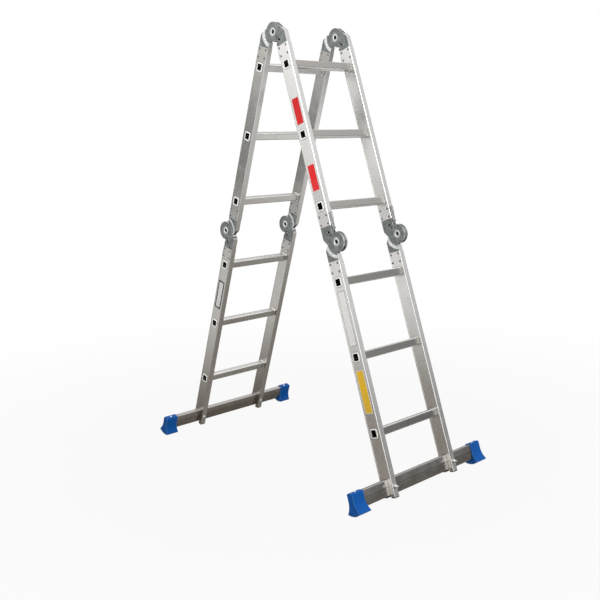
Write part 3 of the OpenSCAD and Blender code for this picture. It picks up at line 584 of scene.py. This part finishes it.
def sticker(name, side, section, reach, field, border, border_w):
    """A thin film with a border, on the flat of a rail's web."""
    body = f"{LEG_NAMES[side]}_{section}"
    outwards, down = leg_axes(side)
    low, high = leg_reach(f"{body}_rail_left", side)
    middle = top_pivot + (low.y + high.y) / 2 * outwards + sum(reach) / 2 * MM * down
    half_w, half_l = STICKER_W / 2, (reach[1] - reach[0]) / 2 * MM
    points = []
    for inset, lift in ((0.0, 0.0), (STICKER_EDGE, STICKER_T), (border_w * MM, STICKER_T)):
        corner_r = max(STICKER_R - inset, STICKER_EDGE)
        for u, v in rounded_outline(half_w - inset, half_l - inset, corner_r):
            points.append(middle + Vector((-web_x - lift, 0.0, 0.0)) + u * outwards + v * down)
    count = len(points) // 3
    faces = [tuple(range(count)), tuple(range(2 * count, 3 * count))]
    for loop in (0, count):
        for spot in range(count):
            beside = (spot + 1) % count
            faces.append((loop + spot, loop + beside, loop + count + beside, loop + count + spot))
    piece = new_piece(name, points, faces, [field, border])
    for number, face in enumerate(piece.data.polygons):
        face.material_index = 0 if number == 1 else 1
    shell = bmesh.new()
    shell.from_mesh(piece.data)
    bmesh.ops.recalc_face_normals(shell, faces=shell.faces)
    shell.to_mesh(piece.data)
    shell.free()
    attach(piece, body)


for name, choices in STICKERS.items():
    sticker(name, *choices)


# The camera, at the photograph's viewing angle

AZIMUTH, ELEVATION, ROLL = math.radians(-41.0548), math.radians(7.3206), math.radians(-1.2513)
DISTANCE = 3.26655
TARGET = Vector((-0.204054, 0.0, 0.860793))
SENSOR_W, LENS = 36.0, 49.675
SHIFT_X, SHIFT_Y = 0.0458, -0.0834

back = Vector((math.sin(AZIMUTH) * math.cos(ELEVATION), -math.cos(AZIMUTH) * math.cos(ELEVATION),
               math.sin(ELEVATION)))
right = Vector((0.0, 0.0, 1.0)).cross(back).normalized()
up = back.cross(right)
turned_right = math.cos(ROLL) * right + math.sin(ROLL) * up
turned_up = -math.sin(ROLL) * right + math.cos(ROLL) * up
camera_data = bpy.data.cameras.new("camera")
camera_data.sensor_width = SENSOR_W
camera_data.lens = LENS
camera_data.shift_x = SHIFT_X
camera_data.shift_y = SHIFT_Y
camera = bpy.data.objects.new("camera", camera_data)
camera.matrix_world = Matrix((turned_right, turned_up, back)).transposed().to_4x4()
camera.location = TARGET + DISTANCE * back
bpy.context.scene.collection.objects.link(camera)
bpy.context.scene.camera = camera


# Soft studio light

def softbox(name, place, aim, size, power, spread=math.pi, mirrored=True):
    """An area lamp at a place, aimed at a point; metal shows it only where it is mirrored."""
    lamp = bpy.data.lights.new(name, "AREA")
    lamp.shape = "RECTANGLE"
    lamp.size, lamp.size_y = size
    lamp.energy = power
    lamp.spread = spread
    obj = bpy.data.objects.new(name, lamp)
    obj.location = place
    obj.rotation_mode = "QUATERNION"
    obj.rotation_quaternion = (Vector(aim) - Vector(place)).to_track_quat("-Z", "Y")
    obj.visible_glossy = mirrored
    bpy.context.scene.collection.objects.link(obj)


softbox("key", (-0.9, -3.3, 3.5), (0.0, -0.2, 1.0), (2.4, 2.0), 88.0)
softbox("side", (-1.9, 1.0, 1.7), (0.0, 0.6, 1.45), (1.7, 1.4), 6.8)
softbox("left", (-2.3, -0.2, 0.8), (-0.2, -0.2, 0.84), (0.5, 0.5), 1.9, spread=math.radians(58),
        mirrored=False)


# The room that metal shows: dark below a height, shaded to the right, and with a window behind the camera
ROOM_DARK_AT, ROOM_WHITE_AT = 0.02, 0.20
ROOM_DARK = 0.05
ROOM_SHADE_AT, ROOM_SHADE = (0.70, 0.78), 0.6
WINDOW_AT = Vector((-0.66, -0.74, 0.14)).normalized()
WINDOW_EDGE = 0.955, 0.985
WINDOW_LEVEL = 2.2
ROOM_FILL = 0.35


def studio_world():
    """White where it is seen; in metal it is a room that darkens towards the floor."""
    world = bpy.data.worlds.new("studio")
    bpy.context.scene.world = world
    graph = Graph(world)
    direction = graph.add("ShaderNodeTexCoord").outputs["Generated"]
    spot = graph.parts(direction)
    walls = graph.math("MULTIPLY", graph.ramp(spot["Z"], ROOM_DARK_AT, ROOM_WHITE_AT, ROOM_DARK, 1.0),
                       graph.ramp(spot["X"], *ROOM_SHADE_AT, 1.0, ROOM_SHADE))
    window = graph.ramp(graph.dot(direction, WINDOW_AT), *WINDOW_EDGE, 0.0, WINDOW_LEVEL)
    room = graph.math("ADD", walls, window)
    path = graph.add("ShaderNodeLightPath")
    seen = graph.math("MAXIMUM", path.outputs["Is Camera Ray"], path.outputs["Is Transmission Ray"])
    mirrored = graph.math("MULTIPLY", path.outputs["Is Glossy Ray"], room)
    unseen = graph.math("SUBTRACT", 1.0, graph.math("MAXIMUM", seen, path.outputs["Is Glossy Ray"]))
    level = graph.math("ADD", graph.math("ADD", seen, mirrored), graph.math("MULTIPLY", unseen, ROOM_FILL))
    light = graph.add("ShaderNodeBackground", {"Color": rgb(1.0, 1.0, 1.0), "Strength": level})
    graph.add("ShaderNodeOutputWorld", {"Surface": light.outputs[0]})


studio_world()


# The floor: pale, white far away, and it keeps the shadow

FLOOR_HALF = 12.0
FLOOR_DROP = 0.0003
FLOOR_PALE_TO, FLOOR_WHITE_FROM = 0.9, 2.8
SHADED_WAY = Vector((0.71, -0.71, 0.0))
SHADE_FROM, SHADE_TO = 3.6, 5.0


def floor_material():
    graph = Graph("studio_floor")
    place = graph.add("ShaderNodeTexCoord").outputs["Object"]
    near = graph.ramp(graph.length(place), FLOOR_PALE_TO, FLOOR_WHITE_FROM, 1.0, 0.0)
    mottled = graph.noise(place, (3.0, 3.0, 3.0), 3.0)
    pale = graph.mix(graph.ramp(mottled, 0.3, 0.7), rgb(0.46, 0.427, 0.385), rgb(0.50, 0.462, 0.418))
    path = graph.add("ShaderNodeLightPath")
    seen = graph.math("MAXIMUM", path.outputs["Is Camera Ray"], path.outputs["Is Transmission Ray"])
    dim = graph.ramp(graph.dot(place, SHADED_WAY), SHADE_FROM, SHADE_TO, 0.0, 0.9)
    far = graph.math("SUBTRACT", 1.0, graph.math("MULTIPLY", path.outputs["Is Glossy Ray"], dim))
    white = graph.add("ShaderNodeEmission", {"Color": rgb(1.0, 1.0, 1.0), "Strength": far})
    lit = graph.add("ShaderNodeBsdfDiffuse", {"Color": pale})
    direct = graph.math("MULTIPLY", seen, graph.ramp(near, 0.0, 1.0, 1.0, 0.93))
    mirrored = graph.math("MULTIPLY", path.outputs["Is Glossy Ray"], graph.ramp(near, 0.0, 1.0, 1.0, 0.0))
    share = graph.math("ADD", direct, mirrored)
    shader = graph.add("ShaderNodeMixShader", {0: share, 1: lit.outputs[0], 2: white.outputs[0]})
    graph.add("ShaderNodeOutputMaterial", {"Surface": shader.outputs[0]})
    return graph.material


floor_mesh = bpy.data.meshes.new("floor")
floor_mesh.from_pydata([(-FLOOR_HALF, -FLOOR_HALF, -FLOOR_DROP), (FLOOR_HALF, -FLOOR_HALF, -FLOOR_DROP),
                        (FLOOR_HALF, FLOOR_HALF, -FLOOR_DROP), (-FLOOR_HALF, FLOOR_HALF, -FLOOR_DROP)],
                       [], [(0, 1, 2, 3)])
floor_mesh.materials.append(floor_material())
floor = bpy.data.objects.new("floor", floor_mesh)
bpy.context.scene.collection.objects.link(floor)

bpy.context.scene.view_settings.view_transform = "Standard"
